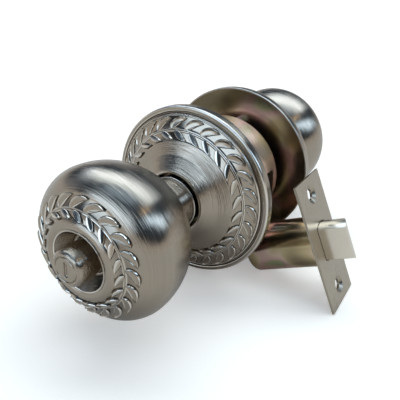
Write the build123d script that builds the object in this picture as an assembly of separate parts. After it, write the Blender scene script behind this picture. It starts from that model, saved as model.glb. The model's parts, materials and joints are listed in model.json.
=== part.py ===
from build123d import *
from math import acos, atan2, cos, degrees, pi, radians, sin, sqrt, tan
import os

os.makedirs("parts", exist_ok=True)

# Knob lock standing on its two roses, with its spring latch leaning beside it.
# The knob axis is Y, the side with the push button is -Y, and up is Z.
# The origin is on the knob axis, halfway through the door.

# Door and chassis
door_gap = 38.0
drum_radius = 26.3
drum_width = 27.0
drum_wall = 1.2
drum_edge_round = 3.0
drum_rim_hole = 22.9
end_plate_thickness = 1.4
window_width = 15.0
window_height = 17.0
fit_gap = 0.1
running_gap = 0.05
body_gap = 0.3

# Roses and the plates behind them
rose_radius = 37.5
rose_wall = 0.8
slope_ease = 0.1
rim_edge_round = 0.9
rose_rim_height = 4.0
rim_ring_width = 2.0
groove_depth = 0.6
groove_width = 0.8
band_outer_height = 4.7
band_inner_radius = 24.5
band_inner_height = 9.1
cone_inner_radius = 19.3
cone_inner_height = 11.2
collar_radius = 13.6
collar_height = 15.2
rose_hole_radius = 12.3
collar_wall = 0.9
collar_depth = 3.0
plate_thickness = 1.2
plate_rim_height = 2.4
plate_recess = 0.4
plate_boss_radius = 12.0
plate_boss_height = 9.0

# Hubs, spindles and the screws that clamp the door
spindle_radius = 7.4
spindle_bore = 5.6
hub_wall = 1.9
hub_height = 15.5
hub_flange_radius = 12.0
hub_flange = 1.4
cam_radius = 10.0
cam_bore = 4.0
cam_near = 4.9
cam_far = 9.0
screw_radius = 2.0
screw_head_radius = 3.6
screw_head_height = 2.2
screw_offset = 20.5
post_radius = 3.8
post_seat = 0.2

# Retractor slide
turn_limit = 60.0
retractor_half_width = 8.7
retractor_back = 3.0
retractor_wall = 1.7
web_thickness = 4.6
jaw_reach = 19.0
jaw_thickness = 2.0
jaw_gap = 5.8
jaw_finger = 1.6
back_lap = 0.6
window_margin = 0.2
retractor_spring_offset = 6.0
retractor_spring_radius = 2.2
spring_pocket_depth = 5.7
return_spring_radius = 9.2
return_spring_wire = 0.6
return_spring_arc = 330.0
spring_wire = 0.35
coil_steps = 10
coil_sides = 5

# Knobs
knob_radius = 29.0
shoulder_radius = 11.3
nose_angle = 27.0
knob_wall = 1.3
inside_knob_centre = 73.0
outside_knob_centre = 66.0
neck_radius = 10.9
neck_wall = 0.75
neck_start = 30.2
neck_bead = 0.4
neck_bead_width = 0.9
neck_bead_gap = 0.4
neck_inset = 3.0
neck_flange = 1.5
spindle_reach = 9.5
lip_radius = 15.0
lip_height = 0.9
lip_drop = 0.3
lip_tuck = 0.4
mouth_radius = 11.0

# Push and turn button
cup_depth = 6.0
cup_wall = 1.0
cup_flange = 0.6
cup_floor_radius = 7.8
cup_hole_radius = 8.2
cup_opening_radius = 7.0
guide_tube_length = 20.0
seat_bore = 3.6
carrier_bore = 3.4
carrier_drop = 4.7
button_spring_radius = 6.6
button_radius = 6.5
button_proud = 5.0
button_chamfer = 0.9
button_slot_width = 1.3
button_slot_length = 6.0
button_slot_depth = 0.8
button_ring_radius = 4.6
button_ring_width = 0.6
button_ring_depth = 0.4
carrier_thickness = 2.5
bar_width = 6.0
bar_thickness = 2.4
bar_tip = 2.0
bar_seat = 3.0
bar_collar_radius = 4.8
bar_collar_thickness = 1.0

# Key cylinder in the outside knob
cylinder_radius = 9.2
cylinder_length = 26.0
plug_radius = 5.95
plug_inset = 0.4
cut_lap = 0.1
notch_lap = 4.0
cylinder_inset = 0.3
plug_end_inset = 1.0
chamber_inset = 2.0
keyway_start = 4.0
tail_slot_depth = 2.0
collar_cup_depth = 3.0
collar_cup_floor_radius = 10.3
keyway_width = 2.2
keyway_height = 8.4
pin_chamber_width = 6.0
pin_chamber_height = 13.0
pin_count = 5
pin_radius = 1.4
pin_pitch = 3.6
tail_width = 5.0
tail_thickness = 2.0
tail_tip = 9.5

# Wreath of leaf pairs, pressed into each rose and each knob nose
rose_leaf_pairs = 26
rose_stem_radius = 28.6
rose_leaf_length = 7.6
rose_leaf_width = 3.7
knob_leaf_pairs = 20
knob_stem_radius = 18.2
knob_leaf_length = 5.6
knob_leaf_width = 3.1
leaf_lean = 38.0
leaf_height = 0.65
leaf_edge = 0.25
leaf_stem_gap = 0.3
leaf_root = 0.35
inner_leaf_share = 0.82
stem_width = 0.6
stem_rise = 0.35

# Spring latch
latch_centre_x = 56.8
face_length = 57.15
face_width = 25.4
face_thickness = 1.0
under_thickness = 1.0
under_margin = 3.0
screw_spacing = 42.5
face_hole_radius = 2.4
face_sink_radius = 4.2
tube_radius = 11.0
tube_wall = 0.9
tube_length = 34.5
tube_round = 2.0
plug_thickness = 1.6
tube_mouth = 7.5
bolt_radius = 8.5
bolt_flat = 5.0
bolt_throw = 12.0
bolt_clearance = 0.3
bolt_tail_length = 11.5
bolt_nose = 1.6
bevel_start = 2.6
bevel_bulge = 1.3
bevel_run_out = 0.5
bolt_head = 3.0
tail_seat = 4.0
latch_spring_radius = 4.4
latch_tail_width = 5.0
latch_tail_thickness = 2.0
latch_tail_reach = 45.0
latch_tail_play = 0.2
tail_head_width = 9.0
tail_head_length = 3.0

door_face = door_gap / 2
half_drum = drum_width / 2
hub_bore = spindle_radius + running_gap
hub_radius = hub_bore + hub_wall
tan_band = tan(radians(nose_angle))
sin_band = sin(radians(nose_angle))
cos_band = cos(radians(nose_angle))
band_rise = radians(90 - nose_angle)
bar_half_x = bar_thickness / 2 + running_gap
bar_half_z = bar_width / 2 + running_gap


def turned(*points):
    """Solid of revolution about the knob axis from corners given as radius and height."""
    face = make_face(Polyline(*points, close=True))
    return revolve(face, Axis.Y, 360)


def tube(outer, inner, low, high):
    """Plain tube about the knob axis between two heights."""
    return turned((inner, low), (outer, low), (outer, high), (inner, high))


def rod(radius, low, high):
    """Plain cylinder about the knob axis between two heights."""
    return turned((0, low), (radius, low), (radius, high), (0, high))


def block(x_low, x_high, y_low, y_high, z_low, z_high):
    """Box between two limits along each axis."""
    size = Box(x_high - x_low, y_high - y_low, z_high - z_low)
    return Pos((x_low + x_high) / 2, (y_low + y_high) / 2, (z_low + z_high) / 2) * size


def inside(shape):
    """The same shape on the button side of the door."""
    return mirror(shape, Plane.XZ)


def faceted(corner_lists):
    """Closed solid from the corners of its flat faces."""
    return Solid(Shell([Face(Wire.make_polygon(corners)) for corners in corner_lists]))


def coil(radius, wire, length, turns):
    """Compression spring along Z from the origin: a wire of flat facets round a helix."""
    steps = turns * coil_steps
    rise = (length - 2 * wire) / steps
    rings = []
    for i in range(steps + 1):
        angle = 2 * pi * i / coil_steps
        ring = []
        for k in range(coil_sides):
            around = 2 * pi * k / coil_sides
            reach = radius + wire * cos(around)
            ring.append(Vector(reach * cos(angle), reach * sin(angle), wire + rise * i + wire * sin(around)))
        rings.append(ring)
    corners = [rings[0], rings[-1][::-1]]
    for low, high in zip(rings, rings[1:]):
        for k in range(coil_sides):
            m = (k + 1) % coil_sides
            corners.append([low[k], high[k], high[m]])
            corners.append([low[k], high[m], low[m]])
    return faceted(corners)


def leaf(length, width):
    """Leaf along X about the origin: upright edges round a pointed outline, then facets up to the midrib."""
    outline = [(-0.5, 0), (-0.16, -0.5), (0.22, -0.38), (0.5, 0), (0.22, 0.38), (-0.16, 0.5)]
    low = [Vector(x * length, y * width, -leaf_root) for x, y in outline]
    edge = [Vector(x * length, y * width, leaf_edge) for x, y in outline]
    root = Vector(-0.28 * length, 0, leaf_height)
    tip = Vector(0.28 * length, 0, 0.85 * leaf_height)
    corners = [low[::-1]]
    corners += [[low[i - 1], low[i], edge[i], edge[i - 1]] for i in range(6)]
    corners += [
        [edge[0], edge[1], root],
        [edge[1], tip, root],
        [edge[1], edge[2], tip],
        [edge[2], edge[3], tip],
        [edge[3], edge[4], tip],
        [edge[4], edge[5], tip],
        [edge[5], root, tip],
        [edge[5], edge[0], root],
    ]
    return faceted(corners)


def wreath(pairs, stem_radius, length, width, height, slope):
    """Ring of leaf pairs on a cone of the given height on the axis and slope, all leaning one way round."""
    ring = []
    tilt = degrees(atan2(slope, 1))
    for side, small in ((1, 1), (-1, inner_leaf_share)):
        along = small * length
        middle = stem_radius + side * (0.5 * along * cos(radians(leaf_lean)) + leaf_stem_gap)
        ahead = degrees(0.5 * along * sin(radians(leaf_lean)) / middle)
        lean = leaf_lean if side > 0 else 180 - leaf_lean
        one = Rot(0, 0, lean) * leaf(along, small * width)
        one = Pos(middle, 0, height + middle * slope) * Rot(0, -tilt, 0) * one
        for i in range(pairs):
            turn = 360 * (i + (0.25 if side > 0 else 0.75)) / pairs + ahead
            ring.append(Rot(-90, 0, 0) * Rot(0, 0, turn) * one)
    return ring


def rounded(face, radius, *spots):
    """The face with the corners nearest to the given spots rounded."""
    for spot in spots:
        corner = face.vertices().sort_by_distance(spot)[0]
        face = fillet([corner], radius)
    return face


# Heights of the wreath bands, worked out from the profiles that carry them
ring_inner_radius = rose_radius - rim_ring_width
band_outer_radius = ring_inner_radius - groove_width - groove_depth
rose_slope = (band_inner_height - band_outer_height) / (band_inner_radius - band_outer_radius)
knob_slope = -tan_band
shoulder_centre = knob_radius - shoulder_radius


def rose_height(radius):
    """Height of the rose's wreath band above the door face at a radius."""
    return band_inner_height + (radius - band_inner_radius) * rose_slope


def nose_point(inset):
    """Where the knob's shoulder arc meets its conical nose, from the knob centre."""
    reach = shoulder_radius - inset
    return shoulder_centre + reach * sin_band, reach * cos_band


def nose_height(radius, inset=0.0):
    """Height of the knob's conical nose above the knob centre at a radius."""
    x, y = nose_point(inset)
    return y + (radius - x) * knob_slope


lip_top = nose_height(lip_radius) + lip_height


def make_rose():
    """Pressed rose with its rim ring, groove, wreath band, cone, bevelled collar and turned-in lip."""
    f = door_face
    outline = make_face(
        Polyline(
            (0, f),
            (rose_radius, f),
            (rose_radius, f + rose_rim_height),
            (ring_inner_radius, f + rose_rim_height),
            (ring_inner_radius - groove_depth, f + rose_rim_height - groove_depth),
            (band_outer_radius, f + band_outer_height),
            (rose_stem_radius + stem_width, f + rose_height(rose_stem_radius + stem_width)),
            (rose_stem_radius, f + rose_height(rose_stem_radius) + stem_rise),
            (rose_stem_radius - stem_width, f + rose_height(rose_stem_radius - stem_width)),
            (band_inner_radius, f + band_inner_height),
            (cone_inner_radius, f + cone_inner_height),
            (collar_radius, f + collar_height),
            (0, f + collar_height),
            close=True,
        )
    )
    plain = make_face(
        Polyline(
            (0, f - 1),
            (rose_radius - rose_wall, f - 1),
            (rose_radius - rose_wall, f + rose_rim_height - groove_depth - rose_wall),
            (band_outer_radius, f + band_outer_height - rose_wall - slope_ease),
            (band_inner_radius, f + band_inner_height - rose_wall - slope_ease),
            (cone_inner_radius, f + cone_inner_height - rose_wall - slope_ease),
            (collar_radius - 3 * slope_ease, f + collar_height - rose_wall - slope_ease),
            (0, f + collar_height - rose_wall - slope_ease),
            close=True,
        )
    )
    outline = rounded(outline, rim_edge_round, (rose_radius, f + rose_rim_height))
    shell = outline - plain
    lip = Pos(rose_hole_radius + collar_wall / 2, f + collar_height - collar_depth / 2) * Rectangle(
        collar_wall, collar_depth
    )
    hole = Pos(rose_hole_radius / 2, f + collar_height / 2) * Rectangle(rose_hole_radius, 2 * collar_height)
    rose = revolve(shell + lip - hole, Axis.Y, 360)
    leaves = wreath(
        rose_leaf_pairs, rose_stem_radius, rose_leaf_length, rose_leaf_width, f + rose_height(0), rose_slope
    )
    return rose + leaves


def make_knob_shell(centre):
    """Hollow ball with a conical nose band, a rounded lip and its wreath."""
    neck_hole = neck_radius + running_gap
    mouth_hole = mouth_radius + cup_flange + running_gap

    def arcs(inset):
        radius = knob_radius - inset
        start = (neck_hole, centre - sqrt(radius**2 - neck_hole**2))
        half = atan2(sqrt(radius**2 - neck_hole**2), neck_hole) / 2
        middle = (radius * cos(half), centre - radius * sin(half))
        equator = (radius, centre)
        x, y = nose_point(inset)
        reach = shoulder_radius - inset
        quarter = band_rise / 2
        bulge = (shoulder_centre + reach * cos(quarter), centre + reach * sin(quarter))
        return start, middle, equator, bulge, (x, centre + y)

    a, b, c, d, e = arcs(0)
    p, q, r, s, t = arcs(knob_wall)
    lip = (lip_radius, centre + nose_height(lip_radius))
    lip_in = (mouth_hole, centre + lip_top - lip_drop)
    lip_mid = ((lip_radius + mouth_hole) / 2, centre + lip_top)
    inner_lip = (mouth_hole, centre + nose_height(mouth_hole, knob_wall) - lip_tuck)
    wire = [
        ThreePointArc(a, b, c),
        ThreePointArc(c, d, e),
        Line(e, lip),
        ThreePointArc(lip, lip_mid, lip_in),
        Line(lip_in, inner_lip),
        Line(inner_lip, t),
        ThreePointArc(t, s, r),
        ThreePointArc(r, q, p),
        Line(p, a),
    ]
    shell = revolve(make_face(wire), Axis.Y, 360)
    height = centre + nose_height(0)
    leaves = wreath(
        knob_leaf_pairs, knob_stem_radius, knob_leaf_length, knob_leaf_width, height, knob_slope
    )
    return shell + leaves


def make_neck(centre):
    """Knob neck with the bead at its foot and the flange that seats on the spindle."""
    end = centre - sqrt(knob_radius**2 - neck_radius**2) + neck_inset
    foot = door_face + collar_height + neck_bead_gap
    neck = tube(neck_radius, neck_radius - neck_wall, neck_start, end)
    bead = tube(neck_radius + neck_bead, neck_radius - neck_wall, foot, foot + neck_bead_width)
    flange = tube(neck_radius, hub_bore, end - neck_flange, end)
    return neck + bead + flange


def make_spindle(centre):
    """Spindle tube ending in the half-round cam that pushes the retractor back."""
    end = centre - sqrt(knob_radius**2 - neck_radius**2) + neck_inset + spindle_reach
    cam = tube(cam_radius, cam_bore, cam_near, cam_far) & block(0, 20, 0, 20, -20, 20)
    return tube(spindle_radius, spindle_bore, cam_far, end) + cam


def make_hub():
    """Hub sleeve with the flange that sits on the chassis end plate."""
    start = half_drum - drum_wall - end_plate_thickness + fit_gap
    sleeve = tube(hub_radius, hub_bore, start, door_face + hub_height)
    flange = tube(hub_flange_radius, hub_bore, half_drum - drum_wall, half_drum - drum_wall + hub_flange)
    return sleeve + flange


def make_door_plate():
    """Plate behind a rose: flat disc, folded rim and central boss."""
    low = door_face + plate_recess
    bore = hub_radius + running_gap
    rim = rose_radius - rose_wall - running_gap
    disc = tube(rim, bore, low, low + plate_thickness)
    edge = tube(rim, rim - plate_thickness, low, door_face + plate_rim_height)
    boss = tube(plate_boss_radius, bore, low, door_face + plate_boss_height)
    return disc + edge + boss


def screw_places():
    """Both screw positions, above and below the hub."""
    return [Pos(0, 0, side * screw_offset) for side in (1, -1)]


def make_end_plate():
    """Chassis end disc with its hub hole and two screw holes."""
    high = half_drum - drum_wall
    disc_radius = drum_radius - drum_wall - running_gap
    disc = tube(disc_radius, hub_radius + running_gap, high - end_plate_thickness, high)
    for place in screw_places():
        disc -= place * rod(screw_radius + body_gap, 0, high + 1)
    return disc


def make_housing():
    """Chassis drum with rolled-over edges and the latch window."""
    body = Pos(drum_radius / 2, 0) * Rectangle(drum_radius, drum_width)
    body = rounded(body, drum_edge_round, (drum_radius, half_drum), (drum_radius, -half_drum))
    inner = drum_radius - drum_wall
    body -= Pos(inner / 2, 0) * Rectangle(inner, drum_width - 2 * drum_wall)
    body -= Pos(drum_rim_hole / 2, 0) * Rectangle(drum_rim_hole, 2 * drum_width)
    half_w, half_h = window_width / 2, window_height / 2
    notch = block(drum_rim_hole - notch_lap, drum_radius + notch_lap, -half_w, half_w, -half_h, half_h)
    return revolve(body, Axis.Y, 360) - notch


def make_retractor():
    """Sliding frame: a bearing face for one cam, a deep pocket for the other, and two jaws."""
    w = retractor_half_width
    pocket = cam_radius * sin(radians(turn_limit)) + body_gap
    back = -pocket - retractor_back
    rail = cam_radius + body_gap
    frame = block(back, -pocket, -w, w, -pocket - back_lap, pocket + back_lap)
    frame += block(-pocket, -body_gap, -w, -cam_near, -rail, rail)
    frame += block(-pocket, -web_thickness, -w, cam_near - body_gap, -rail, rail)
    for side in (1, -1):
        low, high = sorted((side * rail, side * (rail + retractor_wall)))
        frame += block(-pocket, jaw_reach, -w, w, low, high)
        low, high = sorted((side * jaw_gap / 2, side * (jaw_gap / 2 + jaw_finger)))
        frame += block(jaw_reach - jaw_thickness, jaw_reach, low, high, -rail, rail)
    frame -= block(-web_thickness, 5, -w - 1, w + 1, -cam_bore - window_margin, cam_bore + window_margin)
    for side in (1, -1):
        hole = Rot(0, 0, 90) * rod(retractor_spring_radius + spring_wire + body_gap, 0, spring_pocket_depth)
        frame -= Pos(back + spring_pocket_depth, 0, side * retractor_spring_offset) * hole
    return frame


def make_retractor_springs():
    """Pair of springs between the retractor's pockets and the drum wall."""
    pocket = cam_radius * sin(radians(turn_limit)) + body_gap
    start = -pocket - retractor_back + spring_pocket_depth - running_gap
    edge = retractor_spring_offset + retractor_spring_radius + spring_wire
    far = -sqrt((drum_radius - drum_wall) ** 2 - edge**2) + running_gap
    spring = Rot(0, -90, 0) * coil(retractor_spring_radius, spring_wire, start - far, 6)
    return [Pos(start, 0, side * retractor_spring_offset) * spring for side in (1, -1)]


def make_return_spring():
    """Open wire ring that turns a spindle back to its rest."""
    room = (cam_far + half_drum - drum_wall - end_plate_thickness) / 2
    section = Pos(return_spring_radius, room) * RegularPolygon(return_spring_wire, 6)
    return revolve(section, Axis.Y, return_spring_arc)


def make_screw():
    """Through screw with its head on the inside plate."""
    seat = door_face + plate_recess + plate_thickness
    return rod(screw_radius, -door_face, seat) + rod(screw_head_radius, seat, seat + screw_head_height)


# Button group, drawn on the positive side and then turned to the inside
button_face = inside_knob_centre + lip_top + button_proud
cup_top = inside_knob_centre + lip_top - lip_drop
cup_floor = cup_top - cup_depth
seat_height = cup_floor - guide_tube_length
carrier_top = cup_floor - carrier_drop
button_foot = carrier_top + body_gap


def make_cup():
    """Recess cup of the inside knob with the tube that guides the button."""
    return turned(
        (mouth_radius, cup_top),
        (cup_floor_radius, cup_floor),
        (cup_opening_radius, cup_floor),
        (cup_opening_radius, cup_floor - cup_wall),
        (cup_hole_radius, cup_floor - cup_wall),
        (cup_hole_radius, seat_height),
        (seat_bore, seat_height),
        (seat_bore, seat_height - cup_wall),
        (cup_hole_radius + cup_wall, seat_height - cup_wall),
        (cup_hole_radius + cup_wall, cup_floor - cup_wall),
        (mouth_radius + cup_flange, cup_top - cup_wall),
        (mouth_radius + cup_flange, cup_top),
    )


def make_button():
    """Push button with a chamfered edge, a ring groove and a short slot in its face."""
    button = turned(
        (0, button_foot),
        (button_radius, button_foot),
        (button_radius, button_face - button_chamfer),
        (button_radius - button_chamfer, button_face),
        (0, button_face),
    )
    groove = tube(
        button_ring_radius + button_ring_width / 2,
        button_ring_radius - button_ring_width / 2,
        button_face - button_ring_depth,
        button_face + 1,
    )
    half_l, half_w = button_slot_length / 2, button_slot_width / 2
    slot = block(-half_w, half_w, button_face - button_slot_depth, button_face + 1, -half_l, half_l)
    socket = block(-bar_half_x, bar_half_x, 0, button_foot + bar_seat, -bar_half_z, bar_half_z)
    return button - groove - slot - socket


def make_locking_bar():
    """Flat bar from the button to the middle of the chassis, with the collar that holds the carrier."""
    half_x, half_z = bar_thickness / 2, bar_width / 2
    bar = block(-half_x, half_x, -bar_tip, button_foot + bar_seat - running_gap, -half_z, half_z)
    low = carrier_top - carrier_thickness - body_gap
    return bar + rod(bar_collar_radius, low - bar_collar_thickness, low)


def make_carrier():
    """Ring that carries the spring's push to the button and slides in the cup's tube."""
    return tube(cup_hole_radius - running_gap, carrier_bore, carrier_top - carrier_thickness, carrier_top)


def make_button_spring():
    """Coil between the carrier and the seat of the cup's tube."""
    length = carrier_top - carrier_thickness - seat_height - 2 * running_gap
    spring = Rot(-90, 0, 0) * coil(button_spring_radius, spring_wire, length, 5)
    return Pos(0, seat_height + running_gap, 0) * spring


# Key cylinder group of the outside knob
cylinder_face = outside_knob_centre + lip_top - lip_drop - cylinder_inset
cylinder_back = cylinder_face - cylinder_length
plug_face = cylinder_face - plug_inset
plug_back = cylinder_back + plug_end_inset
chamber_low = cylinder_back + chamber_inset
chamber_high = chamber_low + pin_pitch * pin_count


def make_collar_cup():
    """Shallow cup round the key cylinder's face."""
    top = outside_knob_centre + lip_top - lip_drop
    floor = top - collar_cup_depth
    hole = cylinder_radius + running_gap
    return turned(
        (mouth_radius, top),
        (collar_cup_floor_radius, floor),
        (hole, floor),
        (hole, floor - cup_wall),
        (mouth_radius + cup_flange, floor - cup_wall),
        (mouth_radius + cup_flange, top),
    )


def pin_places():
    """Where the pins stand along the key cylinder."""
    return [chamber_low + pin_pitch * (i + 0.5) for i in range(pin_count)]


def make_cylinder():
    """Key cylinder body with its pin chamber."""
    half = pin_chamber_width / 2
    body = tube(cylinder_radius, 0.1, cylinder_back, cylinder_face)
    body += block(-half, half, chamber_low, chamber_high, -pin_chamber_height, -cylinder_radius / 2)
    body -= rod(plug_radius + running_gap, cylinder_back - 1, cylinder_face + 1)
    for y in pin_places():
        body -= Pos(0, y, -pin_chamber_height / 2 - 1) * Cylinder(pin_radius + fit_gap, pin_chamber_height)
    return body


def make_pins():
    """Driver pins waiting below the plug."""
    low, high = -pin_chamber_height + body_gap, -plug_radius - body_gap
    pin = Cylinder(pin_radius, high - low)
    return [Pos(0, y, (low + high) / 2) * pin for y in pin_places()]


def make_plug():
    """Plug with the keyway from its face and the slot for its tailpiece."""
    plug = rod(plug_radius, plug_back, plug_face)
    half = keyway_width / 2
    half_h = keyway_height / 2
    plug -= block(-half, half, plug_back + keyway_start, plug_face + 1, -half_h, half_h)
    half_x, half_z = tail_width / 2 + running_gap, tail_thickness / 2 + running_gap
    return plug - block(-half_x, half_x, 0, plug_back + tail_slot_depth, -half_z, half_z)


def make_tailpiece():
    """Flat bar from the plug down to the middle of the chassis."""
    half_x, half_z = tail_width / 2, tail_thickness / 2
    return block(-half_x, half_x, tail_tip, plug_back + tail_slot_depth - running_gap, -half_z, half_z)


# Spring latch, drawn with X out of its face, Y across it and Z along its face plate.
# It leans on the table on the lower edge of its face plate and the rounded rim of its tube.
stack = face_thickness + under_thickness
plate_reach = face_length / 2
rim_reach = tube_radius - tube_round
lever_run = tube_length - tube_round - face_thickness
lever = sqrt((plate_reach - rim_reach) ** 2 + lever_run**2)
latch_tilt = acos(tube_round / lever) - atan2(lever_run, plate_reach - rim_reach)
latch_drop = plate_reach * cos(latch_tilt) + face_thickness * sin(latch_tilt)
latch_place = Pos(latch_centre_x, 0, latch_drop - rose_radius) * Rot(0, -degrees(latch_tilt), 0)
plug_depth = tube_length - tube_wall


def behind(shape):
    """A turned shape laid behind the face plate, its heights counted from the plate's face."""
    return Rot(0, 0, 90) * shape


def bolt_profile(gap):
    """Round bolt section with its flat side, widened by a gap."""
    section = Plane.YZ * Circle(bolt_radius + gap)
    keep = Plane.YZ * Pos(bolt_radius - bolt_flat - gap, 0) * Rectangle(2 * bolt_radius, 4 * bolt_radius)
    return section & keep


def bolt_hole(thickness_low, thickness_high):
    """Cutter for the bolt's hole through the plates."""
    cutter = extrude(bolt_profile(bolt_clearance), thickness_high - thickness_low)
    return Pos(thickness_low, 0, 0) * cutter


def plate_screws():
    """Both screw positions on the face plate."""
    return [Pos(0, 0, side * screw_spacing / 2) for side in (1, -1)]


def make_face_plate():
    """Face plate with its bolt hole and countersunk screw holes."""
    plate = block(-face_thickness, 0, -face_width / 2, face_width / 2, -face_length / 2, face_length / 2)
    plate -= bolt_hole(-face_thickness - 1, 1)
    sink = behind(
        turned(
            (0, -cut_lap),
            (face_sink_radius, -cut_lap),
            (face_hole_radius, face_thickness + cut_lap),
            (0, face_thickness + cut_lap),
        )
    )
    for place in plate_screws():
        plate -= place * sink
    return plate


def make_under_plate():
    """Plate behind the face plate, drilled for the same screws."""
    half_w, half_l = face_width / 2 - under_margin, face_length / 2 - under_margin
    plate = block(-stack, -face_thickness, -half_w, half_w, -half_l, half_l) - bolt_hole(-stack - 1, 1)
    for place in plate_screws():
        plate -= place * behind(rod(face_hole_radius, 0, stack + 1))
    return plate


def make_tube():
    """Latch tube with its rolled-in rear edge."""
    inner = tube_radius - tube_wall
    body = Pos(tube_radius / 2, (stack + tube_length) / 2) * Rectangle(tube_radius, tube_length - stack)
    body = rounded(body, tube_round, (tube_radius, tube_length))
    body -= Pos(inner / 2, (stack + plug_depth) / 2 - 1) * Rectangle(inner, plug_depth - stack + 2)
    body -= Pos(tube_mouth / 2, tube_length) * Rectangle(tube_mouth, tube_length)
    return behind(revolve(body, Axis.Y, 360))


def make_end_plug():
    """Disc that closes the latch tube and guides the tail bar."""
    disc = behind(rod(tube_radius - tube_wall - running_gap, plug_depth - plug_thickness, plug_depth))
    half_w, half_t = latch_tail_width / 2 + latch_tail_play, latch_tail_thickness / 2 + latch_tail_play
    return disc - block(-tube_length - 1, 0, -half_w, half_w, -half_t, half_t)


def make_bolt():
    """Spring bolt: flat on one side, curved bevel on the other, guide head inside the tube."""
    length = bolt_tail_length + bolt_throw
    bolt = Pos(-bolt_tail_length, 0, 0) * extrude(bolt_profile(0), length)
    tip = (bolt_throw, bolt_nose - bolt_flat)
    heel = (bevel_start, bolt_radius + bevel_run_out)
    middle = ((tip[0] + heel[0]) / 2 + bevel_bulge, (tip[1] + heel[1]) / 2 + bevel_bulge)
    edge = [
        ThreePointArc(tip, middle, heel),
        Line(heel, (bolt_throw + 5, bolt_radius + bevel_run_out)),
        Line((bolt_throw + 5, bolt_radius + bevel_run_out), (bolt_throw + 5, tip[1])),
        Line((bolt_throw + 5, tip[1]), tip),
    ]
    bolt -= extrude(make_face(edge), 2 * bolt_radius, both=True)
    head = behind(rod(tube_radius - tube_wall - running_gap, stack + body_gap, stack + body_gap + bolt_head))
    half_w, half_t = latch_tail_width / 2 + running_gap, latch_tail_thickness / 2 + running_gap
    slot = block(-bolt_tail_length - 1, tail_seat - bolt_tail_length, -half_w, half_w, -half_t, half_t)
    return bolt + head - slot


def make_latch_tail():
    """Tail bar with the cross head that the retractor's jaws pull."""
    half_w, half_t = latch_tail_width / 2, latch_tail_thickness / 2
    tail_end = tail_seat - bolt_tail_length - running_gap
    bar = block(-latch_tail_reach, tail_end, -half_w, half_w, -half_t, half_t)
    wide = tail_head_width / 2
    head_end = tail_head_length - latch_tail_reach
    return bar + block(-latch_tail_reach, head_end, -wide, wide, -half_t, half_t)


def make_latch_spring():
    """Coil round the tail bar, between the bolt and the tube's end."""
    start = bolt_tail_length + running_gap
    length = plug_depth - plug_thickness - running_gap - start
    return Pos(-start, 0, 0) * Rot(0, -90, 0) * coil(latch_spring_radius, spring_wire, length, 7)


def drilled(plate, radius):
    """A door plate with its two screw holes."""
    for place in screw_places():
        plate -= place * rod(radius, 0, 2 * door_face)
    return plate


def make_outside_plate():
    """Outside door plate with the two threaded posts that take the screws."""
    plate = make_door_plate()
    low = half_drum + body_gap
    for place in screw_places():
        plate += place * rod(post_radius, low, door_face + plate_recess + post_seat)
    return drilled(plate, screw_radius + running_gap)


pieces = {
    "chassis_housing": make_housing(),
    "inside_end_plate": inside(make_end_plate()),
    "outside_end_plate": make_end_plate(),
    "inside_hub_sleeve": inside(make_hub()),
    "outside_hub_sleeve": make_hub(),
    "inside_mounting_plate": inside(drilled(make_door_plate(), screw_radius + body_gap)),
    "outside_backing_plate": make_outside_plate(),
    "through_screws": Compound(children=[place * inside(make_screw()) for place in screw_places()]),
    "retractor": make_retractor(),
    "retractor_springs": Compound(children=make_retractor_springs()),
    "inside_return_spring": inside(make_return_spring()),
    "outside_return_spring": make_return_spring(),
    "inside_spindle": inside(make_spindle(inside_knob_centre)),
    "outside_spindle": make_spindle(outside_knob_centre),
    "inside_knob_neck": inside(make_neck(inside_knob_centre)),
    "outside_knob_neck": make_neck(outside_knob_centre),
    "inside_knob_cup": inside(make_cup()),
    "lock_button": inside(make_button()),
    "button_carrier": inside(make_carrier()),
    "button_spring": inside(make_button_spring()),
    "locking_bar": inside(make_locking_bar()),
    "outside_knob_cup": make_collar_cup(),
    "key_cylinder": make_cylinder(),
    "cylinder_pins": Compound(children=make_pins()),
    "key_plug": make_plug(),
    "plug_tailpiece": make_tailpiece(),
    "latch_face_plate": latch_place * make_face_plate(),
    "latch_under_plate": latch_place * make_under_plate(),
    "latch_tube": latch_place * make_tube(),
    "latch_end_plug": latch_place * make_end_plug(),
    "latch_bolt": latch_place * make_bolt(),
    "latch_tail_bar": latch_place * make_latch_tail(),
    "latch_spring": latch_place * make_latch_spring(),
}
rose = make_rose()
pieces["outside_rose"] = rose
pieces["inside_rose"] = inside(rose)
pieces["inside_knob"] = inside(make_knob_shell(inside_knob_centre))
pieces["outside_knob"] = make_knob_shell(outside_knob_centre)

for name, shape in pieces.items():
    export_step(shape, f"parts/{name}.step")
print(len(pieces), "pieces; latch tilt", round(degrees(latch_tilt), 2), "degrees")
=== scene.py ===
# %% [markdown]
# # A knob lock on a pale floor
# The lock comes packed as solids that already have their true sizes and joints. This lesson gives
# those solids their look: satin steel that was brushed while it turned, iridescent zinc plate,
# a bright latch, and a wreath of leaves pressed into both knobs and both roses.
# Everything stays in the lock's own frame: the knob axis is Y, the button side is -Y and up is Z.

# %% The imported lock
import json
import math

import bmesh
import bpy
import numpy as np
from mathutils import Matrix, Vector


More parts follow.
